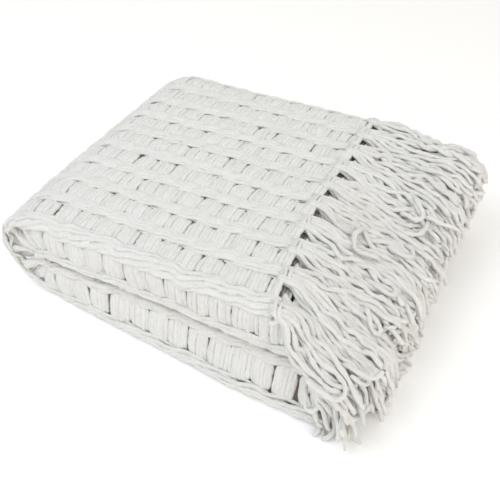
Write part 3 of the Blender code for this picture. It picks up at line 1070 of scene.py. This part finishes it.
def stack_faces(x, y, z):
    """Height of the stepped layers' top, y of the front and y of the back."""
    across = across_stack(y)
    bow = np.where(across < 0, HEM_FRONT, HEM_BACK) * np.abs(np.clip(across, -1, 1)) ** HEM_BEND
    inwards = (x - OUTER_HEM - bow) / (HEM_STEP - bow / HALF_LEVELS)
    height = (HALF_LEVELS - np.clip(inwards, 0, HALF_LEVELS)) * LAYER_PITCH
    middle = middle_height(x)
    crown = CROWN * across * across * height / (HALF_LEVELS * LAYER_PITCH)
    top = middle + height_share(x) * height - crown + TOP_GAP
    level = np.abs(z - middle) / height_share(x)
    fold_reach = (HALF_LEVELS - FOLD_LEVEL) * LAYER_PITCH
    round_front = np.clip((level - FOLD_LEVEL * LAYER_PITCH) / fold_reach, -1, 1)
    spread = np.where(z > middle, UPPER_SPREAD, LOWER_SPREAD[1])
    spread = spread * (np.abs(z - middle) / middle) ** SPREAD_POWER
    front = PANEL_FRONT - (PANEL_FRONT - FRONT_BULGE) * np.sqrt(1 - round_front ** 2)
    return top, front - spread, STACK_DEPTH + BACK_SPREAD


def push_out_of_stack(points, radius):
    """Strands stay above the stepped layers, outside the stack and above the floor."""
    x, y, z = points[..., 0], points[..., 1], points[..., 2]
    top, front, back = stack_faces(x, y, z)
    out_x = END_WALL + radius - x
    out_x = np.where(z < middle_height(x), out_x, np.where(x < END_WALL, NO_WAY, out_x))
    out_z = top - z
    out_front = y - (front - radius)
    out_back = back + radius - y
    inside = (x < END_WALL + radius) & (z < top) & (out_front > 0) & (out_back > 0)
    ways = np.stack([out_x, out_z, out_front, out_back])
    least = ways.argmin(axis=0)
    amount = np.where(inside, ways.min(axis=0), 0.0)
    moved = points.copy()
    for way, (axis, sign) in enumerate(((0, 1), (2, 1), (1, -1), (1, 1))):
        moved[..., axis] += sign * amount * (least == way)
    return np.clip(moved, NEAR_WALL + radius, FAR_WALL - radius)


def bends(points):
    return points[:, 2:] + points[:, :-2] - 2 * points[:, 1:-1]


def settle_strands(points):
    """The strands sink until they lie on each other and on the stack."""
    held = points[:, :PINNED].copy()
    steps = np.linalg.norm(np.diff(points, axis=1), axis=2)
    shape = bends(points)
    before = points.copy()
    radius = FRINGE_YARN / 2
    back = np.clip(points[:, :1, 1] / STACK_DEPTH, 0, 1) ** 2
    for _ in range(SETTLE_STEPS):
        moved = points + np.clip((points - before) * DAMPING, -STEP_MOST, STEP_MOST)
        moved[..., 2] -= GRAVITY * (1 - BACK_LIFT * back)
        before = points
        points = push_apart(moved, points.shape[1], FRINGE_YARN * LOOSENESS)
        points = push_out_of_stack(points, radius)
        for _ in range(BEND_ROUNDS):
            bend = bends(points) - shape
            points[:, 1:-1] += STIFFNESS * bend
            points[:, :-2] -= STIFFNESS / 2 * bend
            points[:, 2:] -= STIFFNESS / 2 * bend
            points[:, :PINNED] = held
            for place in range(PINNED, points.shape[1]):
                link = points[:, place] - points[:, place - 1]
                points[:, place] = points[:, place - 1] + unit(link) * steps[:, place - 1, None]
    return push_out_of_stack(points, radius)


KNOT_RINGS = 9
KNOT_YARN = 0.9 * YARN
KNOT_REACH = 0.0125  # half of a wrap's length, at most
KNOT_SHORT = (0.85, 1.0)  # and the share of it that a wrap has
KNOT_PLACES = (-0.001, 0.0042)  # each wrap's s, from the hem
KNOT_RISE = 0.0040
KNOT_DIP = 0.0075  # the wrap's ends go down beside the bunch
KNOT_SLANT = 0.0012
KNOT_SHIFT = (0.0008, 0.0005)  # the spread of its errors in t and s


def knots(material):
    """Two wraps over the start of every bunch."""
    across = np.linspace(-1, 1, KNOT_RINGS)
    found = []
    for profile, offset in PLIES:
        side = np.sign(offset)
        for t, place in itertools.product(bunch_starts(profile), KNOT_PLACES):
            reach = KNOT_REACH * rng.uniform(*KNOT_SHORT)
            folded = profile.at(t + across * reach + rng.normal(0, KNOT_SHIFT[0]))
            s = hem_x(*ply_at(folded, offset)) + place
            s = s + KNOT_SLANT * across * rng.choice((-1, 1)) + rng.normal(0, KNOT_SHIFT[1])
            rise = offset + side * (KNOT_RISE - KNOT_DIP * across ** 4)
            found.append(cloth_path(s, folded, rise, side))
    return round_yarns("fringe_knots", *zip(*found), KNOT_YARN, FRINGE_UNEVEN, material)


def fringe(material):
    points, combs = first_strands()
    points = settle_strands(points)
    pieces = []
    for comb, node in enumerate(("fringe_outer_end", "fringe_inner_end")):
        paths = points[combs == comb]
        ups = np.broadcast_to(STRAND_UP, paths.shape)
        piece = round_yarns(node + "_strands", paths, ups, FRINGE_YARN, FRINGE_UNEVEN,
                            material, tip=FRINGE_TIP)
        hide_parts(node)
        pieces.append(piece)
    pieces.append(knots(material))
    return pieces


# -------- light, floor, camera

LENS = 50.4  # mm
SENSOR = 36.0
CAMERA_FROM_CLOTH = Vector((0.618, -0.412, 0.7157))  # from the cloth's low corner
CAMERA_DOWN = 44.14  # degrees below the horizon
CAMERA_TURN = 28.30  # degrees to the left of +Y
WORLD = {"Color": (1.0, 0.973, 0.925, 1.0), "Strength": 0.77}
FLOOR_SIZE = 12.0
WHITE = (1.0, 1.0, 1.0, 1.0)
FLOOR_FINISH = {"Base Color": WHITE, "Roughness": 0.9,    # with a glow, to read as white paper
                "Emission Color": WHITE, "Emission Strength": 0.08}
# Round lamps that face the origin: place, size, power and colour
LAMPS = {"key": ((-0.6, -0.7, 1.6), 1.2, 10.0, (0.76, 0.89, 1.0)),
         "front_fill": ((0.3, -1.9, 0.5), 1.2, 0.5, (1.0, 0.78, 0.50)),
         "right_fill": ((1.8, -0.7, 0.9), 1.4, 9.0, (1.0, 0.96, 0.90))}


def make_floor():
    bpy.ops.mesh.primitive_plane_add(size=FLOOR_SIZE, location=(0, 0, CAD_BOX[0][2]))
    floor = bpy.context.object
    floor.name = "floor"
    floor.data.materials.append(new_material("floor_paper", FLOOR_FINISH)[0])


def make_lamp(name, place, size, power, colour):
    light = bpy.data.lights.new(name, "AREA")
    light.shape = "DISK"
    light.size = size
    light.energy = power
    light.color = colour
    item = add_object(name, light)
    item.location = place
    item.rotation_mode = "QUATERNION"
    item.rotation_quaternion = (-Vector(place)).to_track_quat("-Z", "Y")


def make_world():
    world = bpy.data.worlds.new("studio")
    world.use_nodes = True
    set_inputs(world.node_tree.nodes["Background"], WORLD)
    bpy.context.scene.world = world


def make_camera():
    camera = bpy.data.cameras.new("camera")
    camera.lens = LENS
    camera.sensor_width = SENSOR
    item = add_object("camera", camera)
    item.location = Vector(CLOTH_LOW) + CAMERA_FROM_CLOTH
    item.rotation_euler = (math.radians(90 - CAMERA_DOWN), 0.0, math.radians(CAMERA_TURN))
    bpy.context.scene.camera = item


make_camera()
make_world()
make_floor()
for lamp, values in LAMPS.items():
    make_lamp(lamp, *values)
bpy.context.scene.view_settings.view_transform = "Standard"

yarn = yarn_material("chenille_yarn", CHENILLE_AND_HOLLOW_SHADE)
plain = yarn_material("chenille_plain", CHENILLE_AND_HOLLOW_SHADE, woven=True)
# painted shade: the dark material that shows in the slits of the weave
slit_shade = yarn_material("painted_slit_shade", SLIT_SHADE_COLOURS)
base = base_sheet(slit_shade, plain)
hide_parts("throw_cloth")
weft = weft_blocks(yarn)
bands = warp_bands(yarn)
edges = selvedge(yarn)
ends = fringe(yarn)
